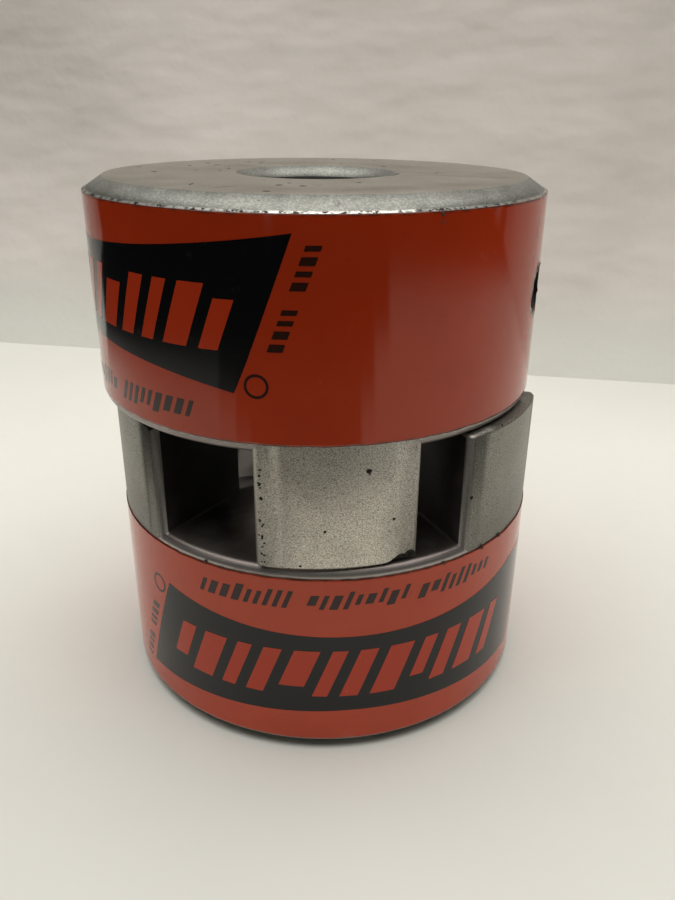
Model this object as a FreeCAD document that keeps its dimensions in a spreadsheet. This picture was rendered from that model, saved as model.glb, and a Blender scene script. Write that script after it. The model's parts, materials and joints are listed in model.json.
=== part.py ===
"""A straight-jaw shaft coupling: two equal cast-iron hubs stood one on the other, jaws interleaved.

Frame: millimetres, +Z up, origin on the bottom face, midway between the two hub axes.
Each hub is drawn once in a frame of its own: outer end at z = 0, jaws towards +Z, set screw along +X.
The lower hub is that shape turned about Z. The upper hub is the same shape turned over onto it.
"""
import FreeCAD, Part
import math
import os
import Sketcher

DIMENSIONS = {
    # Hub body
    "hub_diameter": 95.25,
    "hub_length": 44.45,
    "outer_chamfer_width": 3.8,
    "outer_chamfer_height": 2.5,
    "rim_round": 1.8,
    # Bore and keyway
    "bore_diameter": 28.575,
    "countersink_width": 2.6,
    "countersink_depth": 2.1,
    "inner_bore_chamfer": 0.8,
    "keyway_width": 6.35,
    "keyway_depth": 3.2,
    # Jaws
    "jaw_count": 3,
    "jaw_length": 23.9,
    "jaw_root_depth": 6.0,
    "jaw_inner_radius": 24.2,
    "leg_slot_width": 16.6,
    "jaw_edge_round": 1.5,
    "jaw_tip_chamfer": 0.5,
    "jaw_from_screw": 64.5,
    # Set screw and the tapped hole it runs in
    "screw_diameter": 9.4,
    "screw_hole_diameter": 9.525,
    "screw_height": 21.0,
    "screw_length": 12.7,
    "screw_tip_radius": 20.5,
    "screw_cup_diameter": 5.0,
    "screw_cup_depth": 1.0,
    "screw_head_chamfer": 0.5,
    "socket_across_flats": 4.76,
    "socket_depth": 5.5,
    # Wrap-round label
    "label_thickness": 0.2,
    "label_width": 40.0,
    "label_hole_diameter": 10.6,
    "label_seam_width": 0.8,
    "label_seam_angle": 280.0,
    # How the two hubs stand
    "jaw_tip_clearance": 0.02,
    "hub_offset": 2.1,
    "lower_screw_angle": 140.8,
    "upper_screw_angle": -19.9,
}

ORIGIN = -1
HORIZONTAL_AXIS = -1
VERTICAL_AXIS = -2
START, END, CENTRE = 1, 2, 3


# ---------------------------------------------------------------- document helpers

def make_sheet(doc):
    """Puts every driving dimension in a spreadsheet cell whose alias is its name."""
    sheet = doc.addObject("Spreadsheet::Sheet", "Dimensions")
    for row, (alias, number) in enumerate(DIMENSIONS.items(), start=1):
        sheet.set("A%d" % row, alias)
        sheet.set("B%d" % row, str(number))
        sheet.setAlias("B%d" % row, alias)
    doc.recompute()
    return sheet


def cells(expression):
    """Writes an expression in plain alias names as one that reads the sheet's cells."""
    for alias in sorted(DIMENSIONS, key=len, reverse=True):
        expression = expression.replace(alias, "Dimensions.<%d>" % list(DIMENSIONS).index(alias))
    for index, alias in enumerate(DIMENSIONS):
        expression = expression.replace("<%d>" % index, alias)
    return expression


def number(expression):
    """The value of an expression in alias names, used to lay a sketch out near its final shape."""
    result = FreeCAD.ActiveDocument.Dimensions.evalExpression(expression)
    return float(getattr(result, "Value", result))


def set_size(feature, prop, expression):
    feature.setExpression(prop, cells(expression))


def new_body(doc, label):
    body = doc.addObject("PartDesign::Body", label)
    body.Label = label
    return body


def origin_feature(body, role):
    """One of the body's own origin planes or axes, found by its role."""
    return next(item for item in body.Origin.OriginFeatures if item.Role == role)


def add_sketch(body, name, role, lift=None, turn=None):
    """A sketch on an origin plane, lifted along its normal and turned about it."""
    sketch = body.newObject("Sketcher::SketchObject", name)
    sketch.AttachmentSupport = (origin_feature(body, role), "")
    sketch.MapMode = "FlatFace"
    if lift is not None:
        set_size(sketch, "AttachmentOffset.Base.z", lift)
    if turn is not None:
        sketch.AttachmentOffset = FreeCAD.Placement(FreeCAD.Vector(), FreeCAD.Vector(0, 0, 1), 1)
        set_size(sketch, "AttachmentOffset.Rotation.Angle", turn)
    return sketch


def add_pad(body, name, sketch, length):
    pad = body.newObject("PartDesign::Pad", name)
    pad.Profile = sketch
    set_size(pad, "Length", length)
    return pad


def add_pocket(body, name, sketch, length, towards_normal=False, both_ways=False):
    """Cuts a sketch into the body, along its normal or against it, or half the length each way."""
    pocket = body.newObject("PartDesign::Pocket", name)
    pocket.Profile = sketch
    pocket.Reversed = towards_normal
    pocket.Midplane = both_ways
    set_size(pocket, "Length", length)


def add_revolution(body, name, sketch, axis):
    revolution = body.newObject("PartDesign::Revolution", name)
    revolution.Profile = sketch
    revolution.ReferenceAxis = (sketch, [axis])
    revolution.Angle = 360


def add_chamfer(body, name, base, size, wanted):
    """Bevels every edge of the base feature that the wanted test accepts."""
    names = ["Edge%d" % place for place, edge in enumerate(base.Shape.Edges, start=1) if wanted(edge)]
    if not names:
        raise RuntimeError("no edge found for " + name)
    chamfer = body.newObject("PartDesign::Chamfer", name)
    chamfer.Base = (base, names)
    set_size(chamfer, "Size", size)


# ---------------------------------------------------------------- sketch helpers

def constrain(sketch, *terms):
    return sketch.addConstraint(Sketcher.Constraint(*terms))


def drive(sketch, expression, *terms):
    """Adds a measured constraint at the expression's present value and binds it to the sheet."""
    index = constrain(sketch, *terms, number(expression))
    sketch.setExpression("Constraints[%d]" % index, cells(expression))


def place_point(sketch, geometry, end, across, along):
    """Fixes a point by expressions for its sketch x and y. A "0" puts it on the axis itself."""
    for expression, kind, axis in ((across, "DistanceX", VERTICAL_AXIS), (along, "DistanceY", HORIZONTAL_AXIS)):
        if expression == "0":
            constrain(sketch, "PointOnObject", geometry, end, axis)
        else:
            drive(sketch, expression, kind, ORIGIN, START, geometry, end)


def add_outline(sketch, corners, quarter_round=None):
    """A closed outline through corners given as pairs of expressions.

    Its sides are straight, apart from the quarter_round, the number of the one side that is an arc
    turning from +Y to -X.
    """
    points = [FreeCAD.Vector(number(across), number(along), 0) for across, along in corners]
    sides = []
    for place, (start, finish) in enumerate(zip(points, points[1:] + points[:1])):
        if place == quarter_round:
            centre = FreeCAD.Vector(finish.x, start.y, 0)
            circle = Part.Circle(centre, FreeCAD.Vector(0, 0, 1), start.x - finish.x)
            sides.append(sketch.addGeometry(Part.ArcOfCircle(circle, 0, math.pi / 2), False))
            constrain(sketch, "Vertical", sides[-1], START, sides[-2], START)
        else:
            sides.append(sketch.addGeometry(Part.LineSegment(start, finish), False))
    for place, side in enumerate(sides):
        following = sides[(place + 1) % len(sides)]
        joint = "Tangent" if place + 1 == quarter_round else "Coincident"
        constrain(sketch, joint, side, END, following, START)
    for place, (side, (across, along)) in enumerate(zip(sides, corners)):
        if place != quarter_round:
            place_point(sketch, side, START, across, along)


def add_circle(sketch, diameter, along="0"):
    """A circle whose centre is on the sketch's vertical axis."""
    centre = FreeCAD.Vector(0, number(along), 0)
    circle = sketch.addGeometry(Part.Circle(centre, FreeCAD.Vector(0, 0, 1), number(diameter) / 2), False)
    place_point(sketch, circle, CENTRE, "0", along)
    drive(sketch, diameter, "Diameter", circle)


def add_slot_outline(sketch, inner, outer, width):
    """A rectangle along the sketch's x axis, half its width each side of it."""
    near = number(inner)
    far = number(outer)
    half = number(width) / 2
    corners = [(near, -half), (far, -half), (far, half), (near, half)]
    points = [FreeCAD.Vector(across, along, 0) for across, along in corners]
    lines = []
    for start, finish in zip(points, points[1:] + points[:1]):
        lines.append(sketch.addGeometry(Part.LineSegment(start, finish), False))
    bottom, right, top, left = lines
    for line, following in zip(lines, lines[1:] + lines[:1]):
        constrain(sketch, "Coincident", line, END, following, START)
    constrain(sketch, "Horizontal", bottom)
    constrain(sketch, "Horizontal", top)
    constrain(sketch, "Vertical", right)
    constrain(sketch, "Symmetric", left, START, left, END, HORIZONTAL_AXIS)
    drive(sketch, width, "DistanceY", right, START, right, END)
    drive(sketch, outer, "DistanceX", ORIGIN, START, bottom, END)
    if inner == "0":
        constrain(sketch, "PointOnObject", bottom, START, VERTICAL_AXIS)
    else:
        drive(sketch, inner, "DistanceX", ORIGIN, START, bottom, START)


def add_jaw_outline(sketch):
    """One jaw seen from its tip, centred on the sketch's x axis.

    Each flank is parallel to the middle line of the leg slot beside it, half a slot away, so that a
    straight-sided spider leg fits between two jaws. Inner and outer faces are arcs about the hub axis.
    """
    outer_radius = number("hub_diameter / 2")
    inner_radius = number("jaw_inner_radius")
    edge_round = number("jaw_edge_round")
    half_slot = number("leg_slot_width / 2")
    slope = math.radians(number("180 / (2 * jaw_count)"))
    round_middle = outer_radius - edge_round
    along_slot = math.sqrt(round_middle ** 2 - (half_slot + edge_round) ** 2)
    inner_reach = math.sqrt(inner_radius ** 2 - half_slot ** 2)
    round_turn = slope - math.asin((half_slot + edge_round) / round_middle)
    inner_turn = slope - math.asin(half_slot / inner_radius)

    def beside_slot(reach, away, side):
        """A point so far out along the slot's middle line and so far from it, on one side of the jaw."""
        across = reach * math.cos(slope) + away * math.sin(slope)
        along = reach * math.sin(slope) - away * math.cos(slope)
        return FreeCAD.Vector(across, side * along, 0)

    def arc(centre, radius, start, finish):
        circle = Part.Circle(centre, FreeCAD.Vector(0, 0, 1), radius)
        return sketch.addGeometry(Part.ArcOfCircle(circle, start, finish), False)

    outer = arc(FreeCAD.Vector(), outer_radius, -round_turn, round_turn)
    inner = arc(FreeCAD.Vector(), inner_radius, -inner_turn, inner_turn)
    for face, radius in ((outer, "hub_diameter / 2"), (inner, "jaw_inner_radius")):
        constrain(sketch, "Coincident", face, CENTRE, ORIGIN, START)
        drive(sketch, radius, "Radius", face)

    for side, face_end, near_end, far_end in ((1, END, START, END), (-1, START, END, START)):
        flank_start = beside_slot(inner_reach, half_slot, side)
        flank_end = beside_slot(along_slot, half_slot, side)
        flank = sketch.addGeometry(Part.LineSegment(flank_start, flank_end), False)
        centre = beside_slot(along_slot, half_slot + edge_round, side)
        turns = sorted((side * round_turn, side * (slope + math.pi / 2)))
        corner = arc(centre, edge_round, *turns)
        constrain(sketch, "Coincident", inner, face_end, flank, START)
        constrain(sketch, "Tangent", outer, face_end, corner, near_end)
        constrain(sketch, "Tangent", corner, far_end, flank, END)
        drive(sketch, "jaw_edge_round", "Radius", corner)
        drive(sketch, "leg_slot_width / 2", "Distance", ORIGIN, START, flank)
        sign = "" if side > 0 else "-"
        angle = constrain(sketch, "Angle", flank, side * slope)
        sketch.setExpression("Constraints[%d]" % angle, cells(sign + "180 / (2 * jaw_count) * 1 deg"))


def add_hexagon(sketch, across_flats, along):
    """A regular hexagon about a centre on the sketch's vertical axis, two sides horizontal."""
    radius = number(across_flats) / math.sqrt(3)
    middle = FreeCAD.Vector(0, number(along), 0)
    circle = sketch.addGeometry(Part.Circle(middle, FreeCAD.Vector(0, 0, 1), radius), True)
    place_point(sketch, circle, CENTRE, "0", along)
    drive(sketch, across_flats + " / sqrt(3)", "Radius", circle)
    corners = []
    for step in range(6):
        turn = math.radians(60 * step)
        corners.append(middle + FreeCAD.Vector(radius * math.cos(turn), radius * math.sin(turn), 0))
    lines = []
    for start, finish in zip(corners, corners[1:] + corners[:1]):
        lines.append(sketch.addGeometry(Part.LineSegment(start, finish), False))
    for line, following in zip(lines, lines[1:] + lines[:1]):
        constrain(sketch, "Coincident", line, END, following, START)
        constrain(sketch, "PointOnObject", line, START, circle)
    for line in lines[1:]:
        constrain(sketch, "Equal", lines[0], line)
    constrain(sketch, "Horizontal", lines[1])


# ---------------------------------------------------------------- the pieces

def make_hub(doc, label):
    """A turned body with bore, keyway and cross hole, and three jaws standing on its inner face."""
    body = new_body(doc, label)

    profile = add_sketch(body, label + "_profile", "XZ_Plane")
    add_outline(profile, [
        ("bore_diameter / 2 + countersink_width", "0"),
        ("hub_diameter / 2 - outer_chamfer_width", "0"),
        ("hub_diameter / 2", "outer_chamfer_height"),
        ("hub_diameter / 2", "hub_length - rim_round"),
        ("hub_diameter / 2 - rim_round", "hub_length"),
        ("bore_diameter / 2 + inner_bore_chamfer", "hub_length"),
        ("bore_diameter / 2", "hub_length - inner_bore_chamfer"),
        ("bore_diameter / 2", "countersink_depth"),
    ], quarter_round=3)
    add_revolution(body, label + "_turned", profile, "V_Axis")

    jaw_sketch = add_sketch(body, label + "_jaw_outline", "XY_Plane", "hub_length - jaw_root_depth", "jaw_from_screw")
    add_jaw_outline(jaw_sketch)
    jaw = add_pad(body, label + "_jaw", jaw_sketch, "jaw_length + jaw_root_depth")
    jaws = body.newObject("PartDesign::PolarPattern", label + "_jaws")
    jaws.Originals = [jaw]
    jaws.Axis = (origin_feature(body, "Z_Axis"), [""])
    jaws.Angle = 360
    set_size(jaws, "Occurrences", "jaw_count")
    body.Tip = jaws
    doc.recompute()

    tip_height = number("hub_length + jaw_length")

    def is_jaw_tip(edge):
        return all(abs(vertex.Z - tip_height) < 1e-6 for vertex in edge.Vertexes)

    add_chamfer(body, label + "_jaw_tips", jaws, "jaw_tip_chamfer", is_jaw_tip)

    keyway = add_sketch(body, label + "_keyway_outline", "XY_Plane")
    add_slot_outline(keyway, "0", "bore_diameter / 2 + keyway_depth", "keyway_width")
    add_pocket(body, label + "_keyway", keyway, "4 * hub_length", both_ways=True)

    cross_hole = add_sketch(body, label + "_screw_hole_outline", "YZ_Plane")
    add_circle(cross_hole, "screw_hole_diameter", "screw_height")
    add_pocket(body, label + "_screw_hole", cross_hole, "hub_diameter", towards_normal=True)
    return body


def make_label(doc, label):
    """A thin band round the hub, open at its seam and round the set screw."""
    body = new_body(doc, label)
    ring = add_sketch(body, label + "_ring_outline", "XY_Plane", "outer_chamfer_height")
    add_circle(ring, "hub_diameter + 2 * label_thickness")
    add_circle(ring, "hub_diameter")
    add_pad(body, label + "_ring", ring, "label_width")

    opening = add_sketch(body, label + "_opening_outline", "YZ_Plane")
    add_circle(opening, "label_hole_diameter", "screw_height")
    add_pocket(body, label + "_opening", opening, "hub_diameter", towards_normal=True)

    seam = add_sketch(body, label + "_seam_outline", "XY_Plane", turn="label_seam_angle")
    inner = "hub_diameter / 2 - label_thickness"
    outer = "hub_diameter / 2 + 2 * label_thickness"
    add_slot_outline(seam, inner, outer, "label_seam_width")
    add_pocket(body, label + "_seam", seam, "4 * hub_length", both_ways=True)
    return body


def make_set_screw(doc, label):
    """A cup-point set screw with a hexagon socket, its axis along the hub's +X."""
    body = new_body(doc, label)
    profile = add_sketch(body, label + "_profile", "XY_Plane", "screw_height")
    add_outline(profile, [
        ("screw_tip_radius + screw_cup_depth", "0"),
        ("screw_tip_radius", "screw_cup_diameter / 2"),
        ("screw_tip_radius + screw_diameter / 2 - screw_cup_diameter / 2", "screw_diameter / 2"),
        ("screw_tip_radius + screw_length - screw_head_chamfer", "screw_diameter / 2"),
        ("screw_tip_radius + screw_length", "screw_diameter / 2 - screw_head_chamfer"),
        ("screw_tip_radius + screw_length", "0"),
    ])
    add_revolution(body, label + "_turned", profile, "H_Axis")

    socket = add_sketch(body, label + "_socket_outline", "YZ_Plane", "screw_tip_radius + screw_length")
    add_hexagon(socket, "socket_across_flats", "screw_height")
    add_pocket(body, label + "_socket", socket, "socket_depth")
    return body


# ---------------------------------------------------------------- assembly and output

def stand_lower(body):
    """Outer end down on the ground, turned about its own axis, half the offset to +X."""
    turn = FreeCAD.Rotation(FreeCAD.Vector(0, 0, 1), number("lower_screw_angle"))
    body.Placement = FreeCAD.Placement(FreeCAD.Vector(), turn)
    set_size(body, "Placement.Base.x", "hub_offset / 2")


def stand_upper(body):
    """Turned over so that its jaws drop between the lower hub's, half the offset to -X."""
    over = FreeCAD.Rotation(FreeCAD.Vector(1, 0, 0), 180)
    turn = FreeCAD.Rotation(FreeCAD.Vector(0, 0, 1), number("upper_screw_angle"))
    body.Placement = FreeCAD.Placement(FreeCAD.Vector(), turn * over)
    set_size(body, "Placement.Base.x", "-hub_offset / 2")
    set_size(body, "Placement.Base.z", "2 * hub_length + jaw_length + jaw_tip_clearance")


def check(doc, bodies):
    """Stops if any object failed to compute or any piece isn't one valid solid."""
    for item in doc.Objects:
        if "Invalid" in item.State or "Error" in item.State:
            raise RuntimeError("%s did not compute: %s" % (item.Name, item.State))
    for body in bodies:
        if body.Shape.isNull() or not body.Shape.isValid() or len(body.Shape.Solids) != 1:
            raise RuntimeError("%s is not one valid solid" % body.Label)


def main():
    doc = FreeCAD.newDocument("JawCoupling")
    make_sheet(doc)
    bodies = []
    for side, stand in (("lower", stand_lower), ("upper", stand_upper)):
        for make, kind in ((make_hub, "hub"), (make_label, "label"), (make_set_screw, "set_screw")):
            body = make(doc, side + "_" + kind)
            stand(body)
            bodies.append(body)
    doc.recompute()
    check(doc, bodies)
    os.makedirs("parts", exist_ok=True)
    for body in bodies:
        body.Shape.exportStep(os.path.join("parts", body.Label + ".step"))
        print("%-16s volume %10.1f mm3" % (body.Label, body.Shape.Volume))


main()
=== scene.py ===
"""The looks of a straight-jaw shaft coupling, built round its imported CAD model.

Metres, +Z up. Each hub also has a frame of its own, in which its pieces and finishes are drawn: outer
end at z = 0, jaws towards +Z, set screw along +X. Angles round a hub are measured from its set screw.
"""
import json
import math
import random

import bmesh
import bpy
from mathutils import Matrix, Vector, noise
from mathutils.bvhtree import BVHTree
from mathutils.interpolate import poly_3d_calc


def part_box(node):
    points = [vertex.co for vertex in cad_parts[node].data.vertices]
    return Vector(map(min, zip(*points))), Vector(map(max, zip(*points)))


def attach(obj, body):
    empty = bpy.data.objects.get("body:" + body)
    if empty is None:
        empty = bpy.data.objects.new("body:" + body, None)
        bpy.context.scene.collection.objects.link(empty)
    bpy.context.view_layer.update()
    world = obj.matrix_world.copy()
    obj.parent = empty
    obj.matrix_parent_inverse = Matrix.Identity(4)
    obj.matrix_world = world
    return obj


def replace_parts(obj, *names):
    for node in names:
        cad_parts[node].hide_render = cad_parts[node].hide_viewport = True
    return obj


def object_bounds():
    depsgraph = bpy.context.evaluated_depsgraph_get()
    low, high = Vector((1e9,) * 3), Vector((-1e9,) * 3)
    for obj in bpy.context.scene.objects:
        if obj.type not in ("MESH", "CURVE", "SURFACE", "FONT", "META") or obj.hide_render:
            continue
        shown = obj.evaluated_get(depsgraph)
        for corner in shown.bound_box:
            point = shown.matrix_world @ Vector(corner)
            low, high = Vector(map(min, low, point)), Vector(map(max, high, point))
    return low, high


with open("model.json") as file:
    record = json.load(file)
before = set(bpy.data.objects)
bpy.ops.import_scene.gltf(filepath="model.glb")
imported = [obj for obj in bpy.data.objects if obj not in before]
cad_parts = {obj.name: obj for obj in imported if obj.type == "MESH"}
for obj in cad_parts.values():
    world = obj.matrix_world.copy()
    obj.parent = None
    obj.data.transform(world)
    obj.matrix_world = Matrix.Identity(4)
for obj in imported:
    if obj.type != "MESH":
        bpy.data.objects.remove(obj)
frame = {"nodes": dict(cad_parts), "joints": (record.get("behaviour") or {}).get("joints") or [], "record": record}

CAD_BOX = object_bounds()
MM = 0.001
SIDES = ("lower", "upper")
SEED = {"lower": 1, "upper": 2}      # for what differs by chance between the hubs

# ---------------------------------------------------------------- sizes read from the frame

HUB_LOW, HUB_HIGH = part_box("lower_hub")
LABEL_LOW, LABEL_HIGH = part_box("lower_label")
SCREW_LOW, SCREW_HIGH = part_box("lower_set_screw")
TOTAL_HEIGHT = CAD_BOX[1].z
HUB_RADIUS = (HUB_HIGH.y - HUB_LOW.y) / 2
JAW_TIP = HUB_HIGH.z
TIP_CLEARANCE = 0.02 * MM       # between the upper hub's jaw tips and the lower hub's inner face
HUB_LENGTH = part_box("upper_hub")[0].z - TIP_CLEARANCE
LABEL_START = LABEL_LOW.z
LABEL_END = LABEL_HIGH.z
LABEL_RADIUS = (LABEL_HIGH.y - LABEL_LOW.y) / 2
SCREW_HEIGHT = (SCREW_LOW.z + SCREW_HIGH.z) / 2

# ---------------------------------------------------------------- sizes of details, in a hub's own frame

RIM_ROUND = 1.8 * MM
CHAMFER_WIDTH = 3.8 * MM
COUNTERSINK_DEPTH = 2.1 * MM
JAW_PITCH = math.radians(120)
JAW_MIDDLE = math.radians(64.5)
JAW_EDGE = math.radians(17.4)
LABEL_HOLE_RADIUS = 4.75 * MM
SEAM_ANGLE = math.radians(280)
SEAM_WIDTH = 0.8 * MM
INK_LIFT = 0.03 * MM


def hub_matrix(side):
    """Carries a hub's own frame to where that hub stands."""
    bore = next(mount for mount in frame["record"]["mounts"] if mount["name"] == side + "_bore")
    screw = next(joint for joint in frame["joints"] if joint["name"] == side + "_screw_travel")
    across, along, _ = bore["pos_m"]
    turn = Matrix.Rotation(math.atan2(-screw["axis"][1], -screw["axis"][0]), 4, "Z")
    if side == "lower":
        return Matrix.Translation((across, along, 0)) @ turn
    return Matrix.Translation((across, along, TOTAL_HEIGHT)) @ turn @ Matrix.Rotation(math.pi, 4, "X")


HUB_MATRIX = {side: hub_matrix(side) for side in SIDES}


def lerp(first, second, share):
    return first + (second - first) * share


def wrapped(angle, height, radius):
    """A point on a cylinder about the hub's axis."""
    return Vector((radius * math.cos(angle), radius * math.sin(angle), height))


# ---------------------------------------------------------------- material graphs

HUB_PLACE = "hub_place"      # each vertex's place in its hub's own frame, for the materials to read


class Graph:
    """Builds a node material round one Principled shader, from values and links.

    With a side, its patterns lie in that hub's own frame, shifted so that the two hubs don't look the same.
    Without one, they lie in the object's own coordinates.
    """

    def __init__(self, name, side=None, **shader):
        self.material = bpy.data.materials.new(name)
        self.material.use_nodes = True
        self.tree = self.material.node_tree
        self.shader = self.tree.nodes["Principled BSDF"]
        self.set(self.shader, **shader)
        if side:
            source = self.add("ShaderNodeAttribute")
            source.attribute_name = HUB_PLACE
            self.place = source.outputs["Vector"]
        else:
            self.place = self.add("ShaderNodeTexCoord").outputs["Object"]
        shift = SEED.get(side, 0)
        mapping = self.add("ShaderNodeMapping", Vector=self.place, Location=(shift, shift, 0))
        self.shifted = mapping.outputs["Vector"]

    def add(self, kind, **inputs):
        return self.set(self.tree.nodes.new(kind), **inputs)

    def set(self, node, **inputs):
        """Sets or links inputs by name, with underscores for spaces."""
        for name, value in inputs.items():
            self.put(node.inputs[name.replace("_", " ")], value)
        return node

    def put(self, socket, value):
        if isinstance(value, bpy.types.NodeSocket):
            self.tree.links.new(value, socket)
        elif isinstance(value, tuple) and len(value) == 3 and socket.type == "RGBA":
            socket.default_value = (*value, 1)
        else:
            socket.default_value = value

    def noise(self, scale, detail=4.0, roughness=0.55, vector=None):
        return self.add("ShaderNodeTexNoise", Vector=vector or self.shifted, Scale=scale, Detail=detail,
                        Roughness=roughness).outputs["Fac"]

    def cells(self, scale):
        """Distance from the middle of each random cell."""
        node = self.add("ShaderNodeTexVoronoi", Vector=self.shifted, Scale=scale)
        return node.outputs["Distance"]

    def stretched(self, scale):
        """The place to read a pattern at, scaled along each axis."""
        return self.add("ShaderNodeMapping", Vector=self.shifted, Scale=scale).outputs["Vector"]

    def ramp(self, value, *stops):
        """Maps a value through (position, grey or colour) stops."""
        node = self.add("ShaderNodeValToRGB", Fac=value)
        elements = node.color_ramp.elements
        while len(elements) < len(stops):
            elements.new(0.5)
        for element, (position, colour) in zip(elements, stops):
            element.position = position
            channels = (colour,) * 3 if isinstance(colour, (int, float)) else colour
            element.color = (*channels, 1)
        return node.outputs["Color"]

    def rise(self, value, start, finish):
        """0 below start, 1 above finish, smooth between."""
        node = self.tree.nodes.new("ShaderNodeMapRange")
        node.interpolation_type = "SMOOTHSTEP"
        self.put(node.inputs["Value"], value)
        self.put(node.inputs["From Min"], start)
        self.put(node.inputs["From Max"], finish)
        return node.outputs["Result"]

    def fall(self, value, start, finish):
        """1 below start, 0 above finish, smooth between."""
        return self.math("SUBTRACT", 1.0, self.rise(value, start, finish))

    def mix(self, factor, first, second, blend="MIX"):
        """Blends two colours. The node's colour sockets share their names with others, hence the numbers."""
        node = self.tree.nodes.new("ShaderNodeMix")
        node.data_type = "RGBA"
        node.blend_type = blend
        self.put(node.inputs["Factor"], factor)
        first_socket, second_socket = node.inputs[6:8]
        self.put(first_socket, first)
        self.put(second_socket, second)
        return node.outputs[2]

    def math(self, operation, *values):
        node = self.tree.nodes.new("ShaderNodeMath")
        node.operation = operation
        for socket, value in zip(node.inputs, values):
            self.put(socket, value)
        return node.outputs[0]

    def times(self, first, second):
        return self.math("MULTIPLY", first, second)

    def axes(self):
        """The three coordinates of a place."""
        node = self.add("ShaderNodeSeparateXYZ", Vector=self.place)
        return node.outputs["X"], node.outputs["Y"], node.outputs["Z"]

    def radius(self):
        """Distance from the hub's axis."""
        across, along, _ = self.axes()
        return self.math("SQRT", self.math("ADD", self.times(across, across), self.times(along, along)))

    def from_jaw_middle(self):
        """Unsigned angle from the middle of the nearest jaw."""
        across, along, _ = self.axes()
        turned = self.math("SUBTRACT", self.math("ARCTAN2", along, across), JAW_MIDDLE)
        return self.math("ABSOLUTE", self.math("WRAP", turned, JAW_PITCH / 2, -JAW_PITCH / 2))

    def bump(self, *layers):
        """Stacks (height, strength, distance) layers into the shader's normal."""
        normal = None
        for height, strength, distance in layers:
            node = self.add("ShaderNodeBump", Height=height, Strength=strength, Distance=distance)
            if normal is not None:
                self.tree.links.new(normal, node.inputs["Normal"])
            normal = node.outputs["Normal"]
        self.set(self.shader, Normal=normal)


SKIN_GREYS = ((0.34, 0.32, 0.275), (0.44, 0.42, 0.37))
SKIN_TONE = {"lower": 0.68, "upper": 1.62}
# how much darker each hub's jaw faces get towards their sides, and how much painted shade lies at their roots
SIDE_DARKENING = {"lower": 0.30, "upper": 0.80}
ROOT_SHADE = {"lower": 0.50, "upper": 0.68}


def iron_skin(side):
    """Outer faces of the jaws: light grey, finely pored, darker towards the sides, with painted shade towards the
    root, worn at the corners.
    """
    g = Graph("iron_skin", side, Metallic=0.85)
    _, _, height = g.axes()
    cloud = g.noise(75, detail=5)
    darker, lighter = ([channel * SKIN_TONE[side] for channel in grey] for grey in SKIN_GREYS)
    base = g.ramp(cloud, (0.32, darker), (0.68, lighter))
    grain = g.noise(3800, detail=2, roughness=0.6, vector=g.stretched((1, 1, 1.6)))
    speckle = g.ramp(grain, (0.36, 0.48), (0.50, 1.0), (0.64, 1.38))
    colour = g.mix(1.0, base, speckle, "MULTIPLY")
    pores = g.ramp(g.noise(1100, detail=4, roughness=0.7), (0.29, 1.0), (0.35, 0.0))
    colour = g.mix(g.times(pores, 0.7), colour, (0.05, 0.045, 0.04))
    smear_field = g.noise(60, detail=3, vector=g.stretched((1, 1, 0.35)))
    colour = g.mix(g.ramp(smear_field, (0.58, 0.0), (0.72, 0.35)), colour, (0.22, 0.19, 0.16))
    # darker towards the jaw's sides, and painted shade towards its root where it meets the hub
    at_sides = g.rise(g.from_jaw_middle(), 0.40 * JAW_EDGE, JAW_EDGE)
    at_root = g.fall(height, HUB_LENGTH, HUB_LENGTH + 14 * MM)
    side_and_root_darkening = g.math("MAXIMUM", g.times(at_sides, SIDE_DARKENING[side]), g.times(at_root, ROOT_SHADE[side]))
    colour = g.mix(side_and_root_darkening, colour, g.mix(1.0, colour, (0.42, 0.42, 0.43), "MULTIPLY"))
    corner = g.rise(g.from_jaw_middle(), JAW_EDGE + 0.012, JAW_EDGE + 0.024)
    colour = g.mix(g.times(corner, 0.5), colour, (0.46, 0.44, 0.40))
    g.set(g.shader, Base_Color=colour, Roughness=g.math("ADD", 0.36, g.times(cloud, 0.12)))
    g.bump((grain, 0.35, 0.08 * MM), (pores, 0.6, -0.12 * MM))
    return g.material


def iron_end(side):
    """Faced end of the hub: warm grey, faint turning rings, scattered dents and short scratches."""
    g = Graph("iron_end", side, Metallic=0.85)
    cloud = g.noise(110, detail=6)
    base = g.ramp(cloud, (0.32, (0.282, 0.256, 0.211)), (0.68, (0.357, 0.331, 0.284)))
    dents = g.ramp(g.cells(240), (0.07, 1.0), (0.13, 0.0))
    scratch_field = g.noise(130, detail=2, vector=g.stretched((1, 6, 1)))
    scratches = g.ramp(scratch_field, (0.492, 0.0), (0.499, 0.55), (0.506, 0.0))
    where = g.ramp(g.noise(45, detail=2), (0.50, 0.0), (0.60, 1.0))
    marks = g.math("MAXIMUM", g.times(dents, g.ramp(g.noise(170, detail=1), (0.56, 0.0), (0.62, 1.0))),
                   g.times(scratches, where))
    colour = g.mix(g.times(marks, 0.8), base, (0.035, 0.03, 0.028))
    rings = g.math("SINE", g.times(g.radius(), 2 * math.pi / (0.45 * MM)))
    grain = g.noise(1600, detail=3)
    colour = g.mix(1.0, colour, g.ramp(grain, (0.3, 0.82), (0.7, 1.12)), "MULTIPLY")
    g.set(g.shader, Base_Color=colour, Roughness=g.math("ADD", 0.34, g.times(cloud, 0.2)))
    g.bump((rings, 0.06, 0.02 * MM), (grain, 0.2, 0.05 * MM), (marks, 0.6, -0.12 * MM))
    return g.material


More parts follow.
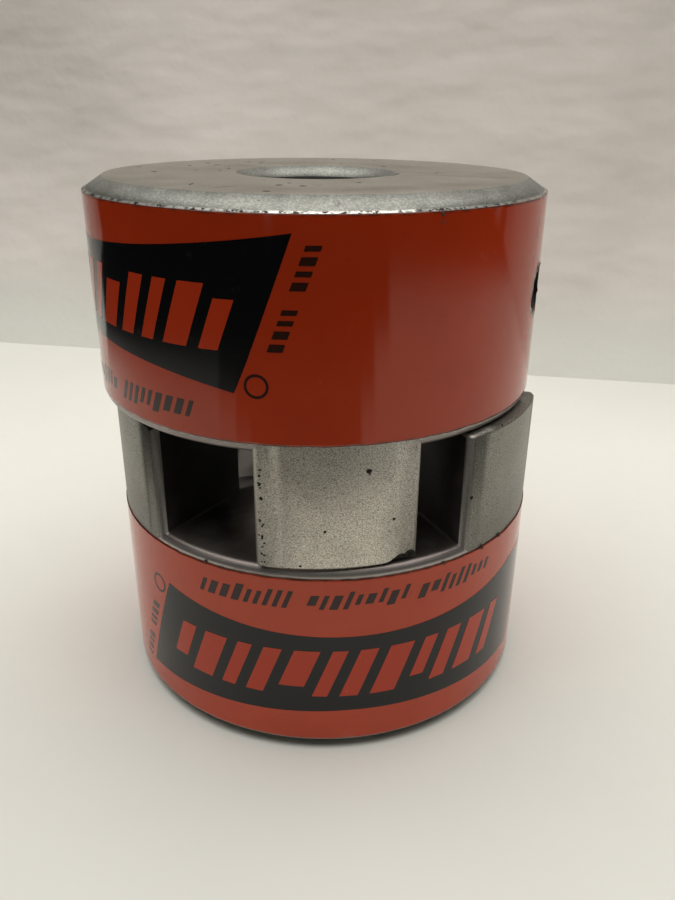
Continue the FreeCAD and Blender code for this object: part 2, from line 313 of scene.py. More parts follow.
def iron_turned(side):
    """Chamfer and countersink: cool grey turned metal, a fine sparkling grain and a chipped lip painted bright,
    partly as worn metal and partly as a painted highlight.
    """
    g = Graph("iron_turned", side, Metallic=0.9)
    _, _, height = g.axes()
    cloud = g.noise(170, detail=5)
    base = g.ramp(cloud, (0.32, (0.200, 0.205, 0.184)), (0.68, (0.280, 0.286, 0.259)))
    grain = g.noise(2400, detail=2, roughness=0.6)
    colour = g.mix(1.0, base, g.ramp(grain, (0.36, 0.80), (0.52, 1.0), (0.66, 1.28)), "MULTIPLY")
    stain = g.ramp(g.noise(520, detail=4, roughness=0.7), (0.62, 0.0), (0.70, 0.6))
    colour = g.mix(stain, colour, (0.07, 0.062, 0.055))
    # the lip just above the label is painted bright: partly worn metal, partly a painted highlight along the edge
    at_lip = g.times(g.rise(height, LABEL_START - 0.42 * MM, LABEL_START - 0.22 * MM),
                     g.math("LESS_THAN", height, LABEL_START + 0.2 * MM))
    ragged = g.ramp(g.noise(900, detail=3, roughness=0.7), (0.42, 0.0), (0.50, 1.0))
    colour = g.mix(g.times(at_lip, ragged), colour, (0.64, 0.64, 0.60))
    chips = g.times(at_lip, g.ramp(g.noise(700, detail=3), (0.55, 0.0), (0.60, 1.0)))
    colour = g.mix(chips, colour, (0.05, 0.035, 0.03))
    g.set(g.shader, Base_Color=colour, Roughness=g.math("ADD", 0.44, g.times(cloud, 0.14)))
    g.bump((grain, 0.25, 0.06 * MM), (g.noise(600, detail=2), 0.2, 0.1 * MM))
    return g.material


# how strongly the thin bright line along each hub's rim shows: partly worn metal, partly a painted highlight
RIM_SHINE = {"lower": 0.55, "upper": 0.10}


def iron_floor(side):
    """Machined inner face between the jaws and its rounded rim: dark oily metal, lighter where it's worn, and a
    thin bright line along the rim that is partly worn metal and partly a painted highlight.
    """
    g = Graph("iron_floor", side, Metallic=0.8)
    cloud = g.noise(150, detail=6)
    base = g.ramp(cloud, (0.35, (0.10, 0.085, 0.075)), (0.70, (0.20, 0.185, 0.165)))
    worn = g.times(g.rise(g.radius(), HUB_RADIUS - 4.0 * MM, HUB_RADIUS - 0.2 * MM), 0.50)
    colour = g.mix(worn, base, (0.30, 0.255, 0.245))
    # thin bright line along the rim's edge: partly worn metal, partly a painted highlight
    rim_highlight_and_wear = g.rise(g.radius(), HUB_RADIUS - 0.60 * MM, HUB_RADIUS - 0.30 * MM)
    colour = g.mix(g.times(rim_highlight_and_wear, RIM_SHINE[side]), colour, (0.62, 0.58, 0.55))
    rings = g.math("SINE", g.times(g.radius(), 2 * math.pi / (0.6 * MM)))
    g.set(g.shader, Base_Color=colour, Roughness=g.math("ADD", 0.26, g.times(cloud, 0.2)))
    g.bump((rings, 0.05, 0.02 * MM), (g.noise(900, detail=3), 0.25, 0.06 * MM))
    return g.material


def iron_cast(side):
    """Unmachined flanks and inner faces: almost black oily iron with brown stains."""
    g = Graph("iron_cast", side, Metallic=0.35)
    cloud = g.noise(140, detail=6)
    iron, oily, brown = ((0.016, 0.015, 0.014), (0.034, 0.029, 0.026), (0.065, 0.043, 0.032))
    base = g.ramp(cloud, (0.35, iron), (0.60, oily), (0.78, brown))
    g.set(g.shader, Base_Color=base, Roughness=g.math("ADD", 0.40, g.times(cloud, 0.3)))
    g.bump((g.noise(700, detail=4), 0.4, 0.12 * MM))
    return g.material


def iron_broken(side):
    """Raw iron laid bare where an edge has chipped."""
    g = Graph("iron_broken", side, Metallic=0.2, Roughness=0.7)
    grain = g.noise(1300, detail=4, roughness=0.7)
    g.set(g.shader, Base_Color=g.ramp(grain, (0.35, (0.008, 0.007, 0.006)), (0.68, (0.07, 0.06, 0.05))))
    g.bump((grain, 0.8, 0.25 * MM))
    return g.material


def film_gloss(g):
    """The slow waves and fine orange peel that the whole label shares."""
    waves = g.noise(42, detail=1)
    peel = g.noise(700, detail=2)
    g.bump((waves, 0.25, 0.5 * MM), (peel, 0.05, 0.02 * MM))


# each label's dull and bright reds; the lower label's are lighter, as painted light for the extra light it gets
# from the floor in front
FILM_REDS = {"lower": ((0.52, 0.054, 0.017), (0.595, 0.064, 0.020)),
             "upper": ((0.445, 0.039, 0.009), (0.510, 0.046, 0.010))}
WARM_SHEEN = (1.0, 0.93, 0.84)


def vinyl(side):
    """Glossy red-orange film with scuffs, pale rubs, dirty edges and a dark torn ring round the set screw."""
    g = Graph("vinyl", side, Specular_IOR_Level=0.46, Specular_Tint=WARM_SHEEN)
    across, along, height = g.axes()
    # the lower label's lighter reds are painted light
    dull, bright = FILM_REDS[side]
    base = g.ramp(g.noise(50, detail=4), (0.30, dull), (0.70, bright))
    scuffs = g.ramp(g.noise(300, detail=6, roughness=0.75), (0.62, 0.0), (0.72, 0.3))
    colour = g.mix(scuffs, base, (0.16, 0.025, 0.012))
    rubs = g.ramp(g.noise(85, detail=3), (0.67, 0.0), (0.74, 0.35))
    colour = g.mix(rubs, colour, (0.60, 0.12, 0.09))
    from_start = g.math("SUBTRACT", height, LABEL_START)
    from_end = g.math("SUBTRACT", LABEL_END, height)
    from_edge = g.math("MINIMUM", from_start, from_end)
    patches = g.ramp(g.noise(420, detail=4, roughness=0.7), (0.42, 0.0), (0.60, 0.85))
    dirt = g.times(g.fall(from_edge, 0.05 * MM, 0.7 * MM), patches)
    colour = g.mix(dirt, colour, (0.06, 0.018, 0.010))
    edge_line = g.times(g.fall(from_edge, 0.12 * MM, 0.30 * MM), 0.75)
    colour = g.mix(edge_line, colour, (0.05, 0.014, 0.009))
    above_screw = g.math("SUBTRACT", height, SCREW_HEIGHT)
    from_screw = g.math("SQRT", g.math("ADD", g.times(along, along), g.times(above_screw, above_screw)))
    ragged = g.math("SUBTRACT", from_screw, g.times(g.noise(500, detail=4, roughness=0.7), 2.6 * MM))
    near_screw = g.fall(ragged, LABEL_HOLE_RADIUS - 0.8 * MM, LABEL_HOLE_RADIUS + 0.1 * MM)
    torn = g.times(near_screw, g.math("GREATER_THAN", across, 0.0))
    colour = g.mix(torn, colour, (0.045, 0.018, 0.011))
    g.set(g.shader, Base_Color=colour, Roughness=g.math("ADD", 0.09, g.times(scuffs, 0.5)))
    film_gloss(g)
    return g.material


def ink(name, colour, side):
    """Printed ink on the film."""
    g = Graph(name, side, Specular_IOR_Level=0.36)
    scuffs = g.ramp(g.noise(300, detail=6, roughness=0.75), (0.60, 0.0), (0.72, 0.4))
    lighter = tuple(min(1.0, channel * 1.2 + 0.02) for channel in colour)
    scuffed = g.mix(scuffs, colour, lighter)
    g.set(g.shader, Base_Color=scuffed, Roughness=g.math("ADD", 0.10, g.times(scuffs, 0.5)))
    film_gloss(g)
    return g.material


def black_oxide():
    """Blackened steel of the set screws."""
    g = Graph("black_oxide", Metallic=0.8, Roughness=0.42)
    cloud = g.noise(900)
    g.set(g.shader, Base_Color=g.ramp(cloud, (0.3, (0.02, 0.02, 0.022)), (0.75, (0.09, 0.088, 0.085))))
    g.bump((cloud, 0.2, 0.03 * MM))
    return g.material


# ---------------------------------------------------------------- pieces

def link(name, data):
    """Adds an object to the scene."""
    piece = bpy.data.objects.new(name, data)
    bpy.context.scene.collection.objects.link(piece)
    return piece


def finished_mesh(name, work):
    """Turns a finished piece of work into a mesh."""
    mesh = bpy.data.meshes.new(name)
    work.to_mesh(mesh)
    work.free()
    return mesh


def add_piece(name, mesh, side, materials):
    """Puts a mesh drawn in a hub's own frame in place and makes it ride on that hub's body."""
    places = [value for vertex in mesh.vertices for value in vertex.co]
    mesh.attributes.new(HUB_PLACE, "FLOAT_VECTOR", "POINT").data.foreach_set("vector", places)
    mesh.transform(HUB_MATRIX[side])
    piece = link(name, mesh)
    for material in materials:
        mesh.materials.append(material)
    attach(piece, side)
    return piece


SKIN, FACED, TURNED, FLOOR, CAST, BROKEN = range(6)


def finish_of(centre, normal):
    """Which finish a face of the hub has, from where it is in the hub's own frame."""
    sliver = 0.05 * MM
    radius = math.hypot(centre.x, centre.y)
    outward = (centre.x * normal.x + centre.y * normal.y) / max(radius, sliver)
    on_skin = radius > HUB_RADIUS - RIM_ROUND - sliver
    if abs(centre.z) < sliver:
        return FACED
    if centre.z < LABEL_START and radius > HUB_RADIUS - CHAMFER_WIDTH:
        return TURNED
    if centre.z < COUNTERSINK_DEPTH and normal.z < -0.3:
        return TURNED
    if on_skin and HUB_LENGTH - RIM_ROUND < centre.z < HUB_LENGTH + sliver and 0.05 < normal.z:
        return FLOOR
    if normal.z > 0.9 and abs(centre.z - HUB_LENGTH) < sliver:
        return FLOOR
    if centre.z > JAW_TIP - 0.6 * MM and normal.z > 0.3:
        return SKIN
    if on_skin and outward > 0.0:
        return SKIN
    return CAST


def degrees_mm(*rows):
    """Rows given as an angle in degrees followed by millimetres, in radians and metres."""
    return [(math.radians(row[0]), *(size * MM for size in row[1:])) for row in rows]


# chips along the jaws' tips and pits in their faces, each as (angle, height, depth, radius)
CHIPS = {
    "upper": degrees_mm((52.6, 69.0, 0.9, 1.5), (50.8, 68.7, 1.1, 1.9),
                        (49.0, 68.2, 1.2, 2.2), (47.4, 67.6, 1.2, 2.0),
                        (58.0, 47.7, 0.35, 0.6), (51.7, 58.4, 0.25, 0.35), (67.7, 59.8, 0.2, 0.35),
                        (73.4, 67.3, 0.2, 0.3), (82.2, 68.6, 0.9, 0.9),
                        (76.0, 68.8, 0.7, 0.8), (69.0, 68.8, 0.6, 0.7)),
    "lower": degrees_mm((79.0, 68.8, 0.8, 0.9), (81.0, 68.6, 0.9, 1.0), (82.6, 68.4, 1.2, 1.2),
                        (166.4, 55.2, 0.3, 0.45), (172.4, 68.8, 0.6, 0.7), (174.4, 68.8, 0.6, 0.8),
                        (176.8, 68.7, 0.6, 0.8)),
}
EDGE_PITS = {"lower": 0, "upper": 26}
PIT_SIZES = (0.18 * MM, 0.32 * MM)
PIT_HEIGHTS = (47 * MM, 67 * MM)
END_DENTS = 27                       # every third one is drawn out into a scratch
DENT_SIZES = (0.40 * MM, 0.80 * MM)
SCRATCH_SIZES = (0.18 * MM, 0.28 * MM)
DENT_RING = (20 * MM, 42 * MM)
SMALL_STONE = 1.2 * MM


def add_stone(work, middle, size, seed, stretch=1.0, turn=0.0):
    """A lumpy stone, longer one way when stretched, for biting a mark out of the casting."""
    stone = bmesh.ops.create_icosphere(work, subdivisions=3 if size > SMALL_STONE else 2, radius=size)
    lengthen = Matrix.Rotation(turn, 3, "Z") @ Matrix.Diagonal((stretch, 1, 1))
    for vertex in stone["verts"]:
        lump = noise.noise(vertex.co * (1.6 / size) + Vector((seed, middle.x / size, middle.y / size)))
        vertex.co = middle + lengthen @ (vertex.co * (1 + 0.35 * lump))


def mark_cutter(side):
    """Stones for a casting's chips, the pits along a jaw's edge and the dents and scratches of its end."""
    work = bmesh.new()
    draw = random.Random(SEED[side])
    marks = list(CHIPS[side])
    for _ in range(EDGE_PITS[side]):
        size = draw.uniform(*PIT_SIZES)
        angle = JAW_MIDDLE + JAW_EDGE + math.radians(draw.gauss(0.2, 0.35))
        marks.append((angle, draw.uniform(*PIT_HEIGHTS), 0.6 * size, size))
    for angle, height, depth, size in marks:
        add_stone(work, wrapped(angle, height, HUB_RADIUS + size - depth), size, SEED[side])
    for index in range(END_DENTS):
        scratch = index % 3 == 2
        size = draw.uniform(*(SCRATCH_SIZES if scratch else DENT_SIZES))
        middle = wrapped(draw.uniform(-math.pi, math.pi), -0.45 * size, draw.uniform(*DENT_RING))
        stretch = draw.uniform(6, 12) if scratch else 1.3
        add_stone(work, middle, size, SEED[side], stretch, draw.uniform(0, math.pi))
    for face in work.faces:
        face.material_index = BROKEN
    return finished_mesh("mark_cutter", work)


def shade_like(mesh, pattern):
    """Gives a marked mesh the smooth shading that the unmarked one has at the same places."""
    points = [vertex.co for vertex in pattern.vertices]
    tree = BVHTree.FromPolygons(points, [polygon.vertices for polygon in pattern.polygons])
    normals = [None] * len(mesh.loops)
    for polygon in mesh.polygons:
        for index in polygon.loop_indices:
            if polygon.material_index == BROKEN:
                normals[index] = polygon.normal
                continue
            corner = mesh.vertices[mesh.loops[index].vertex_index].co
            hit, _, nearest, _ = tree.find_nearest(corner.lerp(polygon.center, 0.01))
            source = pattern.polygons[nearest]
            shares = poly_3d_calc([points[vertex] for vertex in source.vertices], hit)
            corner_normals = (pattern.corner_normals[loop].vector for loop in source.loop_indices)
            parts = (share * normal for share, normal in zip(shares, corner_normals))
            normals[index] = sum(parts, Vector()).normalized()
    mesh.normals_split_custom_set(normals)


WELD_DISTANCE = 0.002 * MM
SHARP_ANGLE = math.radians(25)


def smooth_casting(side):
    """The CAD shape of a casting, in its hub's own frame and with a finish for each kind of surface."""
    mesh = frame["nodes"][side + "_hub"].data.copy()
    mesh.transform(HUB_MATRIX[side].inverted())
    mesh.materials.clear()
    work = bmesh.new()
    work.from_mesh(mesh)
    bmesh.ops.remove_doubles(work, verts=work.verts, dist=WELD_DISTANCE)
    work.normal_update()
    for face in work.faces:
        face.material_index = finish_of(face.calc_center_median(), face.normal)
        face.smooth = True
    work.to_mesh(mesh)
    work.free()
    mesh.set_sharp_from_angle(angle=SHARP_ANGLE)
    return mesh


def make_hub(side):
    """The hub's casting, with its chips, pits and dents cut out of it."""
    mesh = smooth_casting(side)
    plain = link("plain_casting", mesh)
    cutter = link("cutter", mark_cutter(side))
    for make in (iron_skin, iron_end, iron_turned, iron_floor, iron_cast, iron_broken):
        material = make(side)
        mesh.materials.append(material)
        cutter.data.materials.append(material)
    bite = plain.modifiers.new("marks", "BOOLEAN")
    bite.operation = "DIFFERENCE"
    bite.solver = "EXACT"
    bite.use_self = True
    bite.object = cutter
    bpy.context.view_layer.update()
    chipped = bpy.data.meshes.new_from_object(plain.evaluated_get(bpy.context.evaluated_depsgraph_get()))
    for helper in (plain, cutter):
        bpy.data.objects.remove(helper)
    shade_like(chipped, mesh)
    piece = add_piece(side + "_casting", chipped, side, [])
    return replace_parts(piece, side + "_hub")


LABEL_COLUMNS = 720
LABEL_ROWS = 96
PIN_RADIUS = 2.0 * MM       # the flat film has only a pinhole over the screw, which opens up to the torn edge
TORN_REACH = 9.0 * MM       # how far from the screw the film is still pushed aside
CURL_HEIGHT = 1.1 * MM
BARE_EDGE = {"lower": 0.35 * MM, "upper": 0.0}      # iron left bare beside the label


def torn_radius(turn, seed):
    """Ragged edge of the label round the set screw."""
    wobble = noise.noise(Vector((math.cos(turn) * 1.7, math.sin(turn) * 1.7, seed)))
    fine = noise.noise(Vector((math.cos(turn) * 6, math.sin(turn) * 6, seed + 5)))
    return LABEL_HOLE_RADIUS * (1.02 + 0.26 * wobble + 0.24 * fine)


def label_point(angle, height, seed):
    """Where a point of the flat label ends up: opened up round the set screw, with the torn edge curling."""
    across = angle * LABEL_RADIUS
    up = height - SCREW_HEIGHT
    reach = math.hypot(across, up)
    if reach >= TORN_REACH:
        return wrapped(angle, height, LABEL_RADIUS)
    if reach <= PIN_RADIUS:
        return None
    turn = math.atan2(up, across)
    share = (reach - PIN_RADIUS) / (TORN_REACH - PIN_RADIUS)
    moved = lerp(torn_radius(turn, seed), TORN_REACH, share)
    curl = max(0.0, noise.noise(Vector((turn * 1.3, seed, 2.0))))
    lift = CURL_HEIGHT * curl * max(0.0, 1 - share * 3) ** 2
    new_angle = moved * math.cos(turn) / LABEL_RADIUS
    return wrapped(new_angle, SCREW_HEIGHT + moved * math.sin(turn), LABEL_RADIUS + lift)


def make_label(side):
    """Vinyl band with a butt seam, a torn opening over the set screw and slightly uneven edges."""
    seed = SEED[side]
    half_seam = SEAM_WIDTH / 2 / HUB_RADIUS
    start = SEAM_ANGLE - 2 * math.pi + half_seam
    finish = SEAM_ANGLE - half_seam
    work = bmesh.new()
    grid = []
    for column in range(LABEL_COLUMNS + 1):
        angle = lerp(start, finish, column / LABEL_COLUMNS)
        around = Vector((math.cos(angle), math.sin(angle), seed)) * 9
        low = LABEL_START + BARE_EDGE[side] + 0.12 * MM * max(0.0, noise.noise(around))
        high = LABEL_END - 0.25 * MM * max(0.0, noise.noise(around * 2.3))
        line = []
        for row in range(LABEL_ROWS + 1):
            place = label_point(angle, lerp(low, high, row / LABEL_ROWS), seed)
            line.append(work.verts.new(place) if place else None)
        grid.append(line)
    for left, right in zip(grid, grid[1:]):
        for row in range(LABEL_ROWS):
            corners = (left[row], right[row], right[row + 1], left[row + 1])
            if all(corners):
                work.faces.new(corners).smooth = True
    loose = [vertex for vertex in work.verts if not vertex.link_faces]
    bmesh.ops.delete(work, geom=loose, context="VERTS")
    piece = add_piece(side + "_film", finished_mesh(side + "_film", work), side, [vinyl(side)])
    thicken = piece.modifiers.new("thickness", "SOLIDIFY")
    thicken.thickness = LABEL_RADIUS - HUB_RADIUS
    thicken.offset = -1
    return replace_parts(piece, side + "_label")


def print_shape(name, side, spot, material, layer=1, across=12, along=4):
    """Ink on the label: spot(u, v) gives the angle and the height of each point of the printed shape."""
    radius = LABEL_RADIUS + layer * INK_LIFT
    work = bmesh.new()
    rows = []
    for v_step in range(along + 1):
        spots = [spot(u_step / across, v_step / along) for u_step in range(across + 1)]
        rows.append([work.verts.new(wrapped(*place, radius)) for place in spots])
    for low, high in zip(rows, rows[1:]):
        for step in range(across):
            work.faces.new((low[step], low[step + 1], high[step + 1], high[step])).smooth = True
    return add_piece(side + "_" + name, finished_mesh(name, work), side, [material])


# the print, with heights from the hub's outer end; a slanted thing's angle is that of its foot
PANEL_START = {"lower": math.radians(70.2), "upper": math.radians(71.6)}
PANEL_END = math.radians(190)
PANEL_LEAN = math.radians(0.46) / MM     # how far the panel's ends lean, for each unit of height
PANEL_WAIST = math.radians(136)          # where the panel is narrowest
PANEL_LOW = 10.4 * MM
PANEL_DIP = {"lower": 2.6 * MM, "upper": 4.9 * MM}
DIP_REACH = math.radians(62)
PANEL_HIGH = 29.0 * MM
PANEL_RISE = 4.6 * MM
RISE_REACH = math.radians(52)
BLOCKS = 12
BLOCKS_START = math.radians(78.5)
BLOCK_WIDTHS = [math.radians(width) for width in (4.6, 6.4, 3.8)]
BLOCK_GAP = math.radians(3.0)
BLOCK_LOW = 14.2 * MM
BLOCK_STEP = 2.4 * MM
BLOCK_HIGH = 25.6 * MM
BARS = 30
BARS_START = math.radians(80.5)
BARS_LOW = 35.7 * MM
BARS_HIGH = 38.9 * MM
BAR_GAP = 1.0 * MM / HUB_RADIUS
DASHES = 10
DASH_ANGLE = math.radians(64.8)
DASH_WIDTH = 2.7 * MM / HUB_RADIUS
DASHES_LOW = 7.4 * MM
DASH_GAP = 0.9 * MM
RING_ANGLE = {"lower": math.radians(80.9), "upper": math.radians(82.1)}
RING_HEIGHT = 31.5 * MM
RING_RADII = (1.75 * MM, 2.25 * MM)
PRINT_SEED = 7


def panel_low(angle, side):
    return PANEL_LOW - PANEL_DIP[side] * min(1.0, abs(angle - PANEL_WAIST) / DIP_REACH) ** 1.5


def panel_high(angle):
    return PANEL_HIGH + PANEL_RISE * min(1.0, abs(angle - PANEL_WAIST) / RISE_REACH) ** 2


def panel_spot(side):
    """The panel's outline: bowed edges along the label, leaning ends."""
    def spot(u, v):
        foot = lerp(PANEL_START[side], PANEL_END, u)
        angle = foot + PANEL_LEAN * lerp(panel_low(foot, side), panel_high(foot), v)
        return angle, lerp(panel_low(angle, side), panel_high(angle), v)
    return spot


def block_spot(foot, width, low, high):
    """A block that leans like the panel's ends, its foot beginning at an angle."""
    def spot(u, v):
        height = lerp(low, high, v)
        return foot + width * u + PANEL_LEAN * height, height
    return spot


def ring_spot(side):
    """A thin ring at the panel's corner."""
    def spot(u, v):
        turn = 2 * math.pi * u
        reach = lerp(*RING_RADII, v)
        return RING_ANGLE[side] + reach * math.cos(turn) / HUB_RADIUS, RING_HEIGHT + reach * math.sin(turn)
    return spot


def make_print(side):
    """A plain pattern in the label's inks: a dark panel with red blocks, rows of small bars and a ring."""
    dark = ink("ink_dark", (0.005, 0.0055, 0.006), side)
    red = ink("ink_red", (0.54, 0.047, 0.012), side)
    line = ink("ink_line", (0.035, 0.012, 0.008), side)
    print_shape("panel", side, panel_spot(side), dark, across=160, along=12)
    foot = BLOCKS_START
    for index in range(BLOCKS):
        width = BLOCK_WIDTHS[index % 3]
        low = BLOCK_LOW if index % 4 else BLOCK_LOW + BLOCK_STEP
        print_shape("block_%d" % index, side, block_spot(foot, width, low, BLOCK_HIGH), red, layer=2, along=6)
        foot += width + BLOCK_GAP
    draw = random.Random(PRINT_SEED)
    foot = BARS_START
    for index in range(BARS):
        width = draw.choice((1.0, 1.0, 1.7)) * MM / HUB_RADIUS
        low = BARS_LOW + draw.choice((0.0, 0.0, 0.9)) * MM
        high = BARS_HIGH + draw.choice((0.0, 0.0, 0.8)) * MM
        if index % 10 != 9:
            print_shape("bar_%d" % index, side, block_spot(foot, width, low, high), line)
        foot += width + BAR_GAP
    low = DASHES_LOW
    for index in range(DASHES):
        high = low + draw.choice((0.9, 1.4)) * MM
        if index % 5 != 4:
            print_shape("dash_%d" % index, side, block_spot(DASH_ANGLE, DASH_WIDTH, low, high), line)
        low = high + DASH_GAP
    print_shape("ring", side, ring_spot(side), line, across=48, along=1)


# each crumb as (angle, height, size)
CRUMBS = {
    "upper": degrees_mm((43.7, 3.0, 0.35), (43.6, 4.3, 0.25)),
    "lower": degrees_mm((99.2, 42.7, 0.35), (158.8, 42.4, 0.40), (172.0, 42.2, 0.45), (179.7, 42.4, 0.45)),
}


def add_crumbs(side):
    """Small dark curls of torn film and grit stuck at the label's edges."""
    work = bmesh.new()
    for angle, height, size in CRUMBS[side]:
        middle = wrapped(angle, height, LABEL_RADIUS)
        place = Matrix.Translation(middle)
        crumb = bmesh.ops.create_icosphere(work, subdivisions=3, radius=size, matrix=place)
        outward = wrapped(angle, 0, 1)
        for vertex in crumb["verts"]:
            away = vertex.co - middle
            away *= 1 + 0.7 * noise.noise(away * (2.2 / size) + Vector((SEED[side], angle, 0)))
            vertex.co = middle + away - outward * away.dot(outward) * 0.6
    g = Graph("torn_film", side, Roughness=0.6)
    g.set(g.shader, Base_Color=g.ramp(g.noise(1500), (0.4, (0.03, 0.008, 0.006)), (0.6, (0.16, 0.04, 0.02))))
    add_piece(side + "_crumbs", finished_mesh(side + "_crumbs", work), side, [g.material])


# ---------------------------------------------------------------- stage, light and camera

STAGE_HALF_WIDTH = 0.9
STAGE_FRONT = -0.8
STAGE_COLUMNS = 160
STAGE_ROWS = 48
FOLD_DISTANCE = 0.219       # from the object's middle to where the sheet folds up
WALL_TURN = math.radians(-11)
WALL_HEIGHT = 0.32
WALL_LEAN = 0.055
WALL_CURVE = 0.085
CREASE_ACROSS = 0.082


def paper():
    """Matt pale paper, slightly warmer and creased where it is folded up."""
    g = Graph("paper", Roughness=0.9, Specular_IOR_Level=0.15)
    tone = g.noise(7, detail=3)
    _, _, height = g.axes()
    folded_up = g.rise(height, 0.01, 0.05)
    colour = g.ramp(tone, (0.3, (0.78, 0.785, 0.73)), (0.7, (0.83, 0.835, 0.78)))
    g.set(g.shader, Base_Color=g.mix(folded_up, colour, g.mix(1.0, colour, (1.0, 0.945, 0.95), "MULTIPLY")))
    creases = g.times(g.noise(16, detail=2, vector=g.stretched((1, 1, 2.4))), folded_up)
    g.bump((g.noise(26, detail=4), 0.35, 4 * MM), (creases, 0.5, 6 * MM))
    return g.material


def wall_depth(across, height):
    """How far behind its foot the sheet hangs: leaning back, lightly creased and wrinkled."""
    lean = WALL_LEAN * (1 - math.exp(-height / WALL_CURVE))
    crease = 9 * MM * math.exp(-abs(across - CREASE_ACROSS - 0.06 * height) / 0.035)
    wrinkles = 11 * MM * noise.noise(Vector((across * 9, height * 7, 1.5)))
    return lean + min(1.0, height / 0.06) * (wrinkles - crease)


def make_stage():
    """A pale sheet: flat under the object, then folded up behind it."""
    turn = Matrix.Rotation(WALL_TURN, 4, "Z")
    places = [lerp(-STAGE_HALF_WIDTH, STAGE_HALF_WIDTH, step / STAGE_COLUMNS)
              for step in range(STAGE_COLUMNS + 1)]
    work = bmesh.new()
    lines = [[work.verts.new((across, STAGE_FRONT, 0)) for across in places]]
    for row in range(STAGE_ROWS + 1):
        height = WALL_HEIGHT * (row / STAGE_ROWS) ** 1.5
        points = [Vector((across, FOLD_DISTANCE + wall_depth(across, height), height)) for across in places]
        lines.append([work.verts.new(turn @ point) for point in points])
    for low, high in zip(lines, lines[1:]):
        for step in range(STAGE_COLUMNS):
            face = work.faces.new((low[step], low[step + 1], high[step + 1], high[step]))
            face.smooth = low is not lines[0]
    sweep = link("sweep", finished_mesh("sweep", work))
    sweep.data.set_sharp_from_angle(angle=math.radians(35))
    sweep.data.materials.append(paper())


# what the glossy labels mirror in front: dark sheets of painted shade just over the floor, each fading in between
# two distances and given as (from degrees, to degrees, near, far), and bright upright cards, given as (from, to)
FLOOR_SHADES = ((-125, -44, 0.22, 0.36), (-44, -36, 0.18, 0.31), (-36, -29, 0.15, 0.25),
                (-29, 20, 0.12, 0.21), (20, 26, 0.18, 0.32), (26, 33, 0.28, 0.45), (33, 120, 0.40, 0.66))
GLEAMS = ((-22, -18.5), (90, 94), (122, 130))
FLAG_RADIUS = 0.70
FLAG_HEIGHT = 0.45
FLAG_SPAN = (-125, 120)
FLAG_BLACK = (0.012, 0.012, 0.013)
SHADE_BROWN = (0.13, 0.12, 0.11)
STRIP_STEPS = 24


def arc_strip(name, span, inner, outer, graph):
    """A strip of card round the front of the object, from one (distance, height) to another.

    It is out of the camera's sight and casts no shadow.
    """
    work = bmesh.new()
    pairs = []
    for step in range(STRIP_STEPS + 1):
        turn = math.radians(lerp(*span, step / STRIP_STEPS))
        pairs.append([work.verts.new((math.sin(turn) * distance, -math.cos(turn) * distance, height))
                      for distance, height in (inner, outer)])
    for (first, second), (next_first, next_second) in zip(pairs, pairs[1:]):
        work.faces.new((first, next_first, next_second, second))
    strip = link(name, finished_mesh(name, work))
    strip.data.materials.append(graph.material)
    strip.visible_camera = False
    strip.visible_shadow = False
    return strip


def make_flags():
    """Dark cards, and light strips between them, for the glossy labels to mirror; the dark sheets over the floor
    are painted shade.
    """
    matt = {"Roughness": 1.0, "Specular_IOR_Level": 0.0}
    cloth = Graph("flag_cloth", Base_Color=FLAG_BLACK, **matt)
    arc_strip("flag", FLAG_SPAN, (FLAG_RADIUS, 0), (FLAG_RADIUS, FLAG_HEIGHT), cloth)
    for start, finish, near, far in FLOOR_SHADES:
        fading = Graph("floor_shade", **matt)
        distance = fading.radius()
        tone = fading.mix(fading.rise(distance, 0.22, 0.40), SHADE_BROWN, FLAG_BLACK)
        fading.set(fading.shader, Alpha=fading.rise(distance, near, far), Base_Color=tone)
        arc_strip("floor_shade", (start, finish), (near, 2 * MM), (FLAG_RADIUS, 2 * MM), fading)
    light = Graph("gleam_card", Base_Color=(0.8, 0.8, 0.8), **matt)
    before_flag = FLAG_RADIUS - 10 * MM
    for span in GLEAMS:
        strip = arc_strip("gleam", span, (before_flag, 20 * MM), (before_flag, FLAG_HEIGHT), light)
        strip.visible_diffuse = False


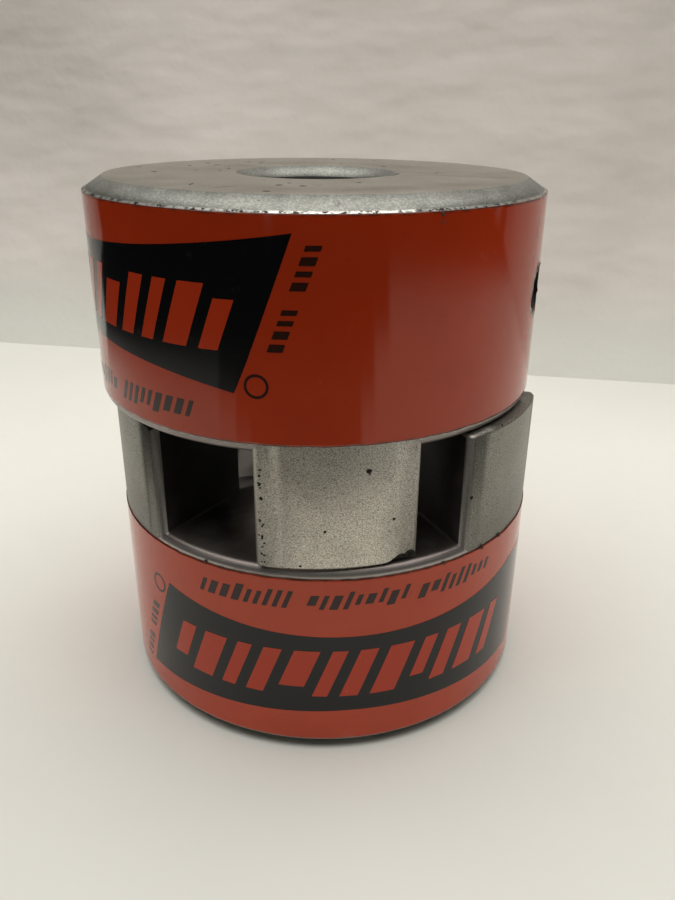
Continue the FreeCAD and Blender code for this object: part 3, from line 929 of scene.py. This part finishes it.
def area_light(name, place, target, size, power, colour):
    """A rectangular lamp at a place, facing a target."""
    data = bpy.data.lights.new(name, "AREA")
    data.shape = "RECTANGLE"
    data.size, data.size_y = size
    data.energy = power
    data.color = colour
    light = link(name, data)
    light.location = place
    light.rotation_euler = (Vector(target) - Vector(place)).to_track_quat("-Z", "Y").to_euler()


LIGHT_COLOUR = (1.0, 0.97, 0.93)
OVERHEAD_POWER = 14.2
WORLD_STRENGTH = 0.09


def make_lights():
    """One wide soft lamp overhead and a dim even glow from everywhere else."""
    world = bpy.data.worlds.new("studio")
    bpy.context.scene.world = world
    world.use_nodes = True
    background = world.node_tree.nodes["Background"]
    background.inputs["Color"].default_value = (*LIGHT_COLOUR, 1)
    background.inputs["Strength"].default_value = WORLD_STRENGTH
    area_light("overhead", (0.0, 0.05, 1.0), (0, 0.05, 0), (1.5, 1.1), OVERHEAD_POWER, LIGHT_COLOUR)


CAMERA_LENS = 31.46
CAMERA_DISTANCE = 175.5 * MM
CAMERA_HEIGHT = 126.6 * MM
CAMERA_DOWN = math.radians(23.96)
CAMERA_YAW = math.radians(0.944)
CAMERA_ROLL = math.radians(0.476)


def make_camera():
    """Looks down at the coupling from the front."""
    data = bpy.data.cameras.new("camera")
    data.lens = CAMERA_LENS
    data.sensor_width = 36
    camera = link("camera", data)
    axis = HUB_MATRIX["lower"].translation
    camera.location = (axis.x, axis.y - CAMERA_DISTANCE, CAMERA_HEIGHT)
    tilt = Matrix.Rotation(math.pi / 2 - CAMERA_DOWN, 4, "X")
    yaw = Matrix.Rotation(-CAMERA_YAW, 4, "Z")
    roll = Matrix.Rotation(CAMERA_ROLL, 4, "Z")
    camera.rotation_euler = (yaw @ tilt @ roll).to_euler()
    bpy.context.scene.camera = camera


# ---------------------------------------------------------------- everything together

def main():
    """Builds the stage, the light and the camera, and dresses both hubs and their set screws."""
    bpy.context.scene.view_settings.view_transform = "Standard"
    make_camera()
    make_stage()
    make_flags()
    make_lights()
    oxide = black_oxide()
    for side in SIDES:
        make_hub(side)
        make_label(side)
        make_print(side)
        add_crumbs(side)
        screw = frame["nodes"][side + "_set_screw"]
        screw.data.materials.clear()
        screw.data.materials.append(oxide)


main()
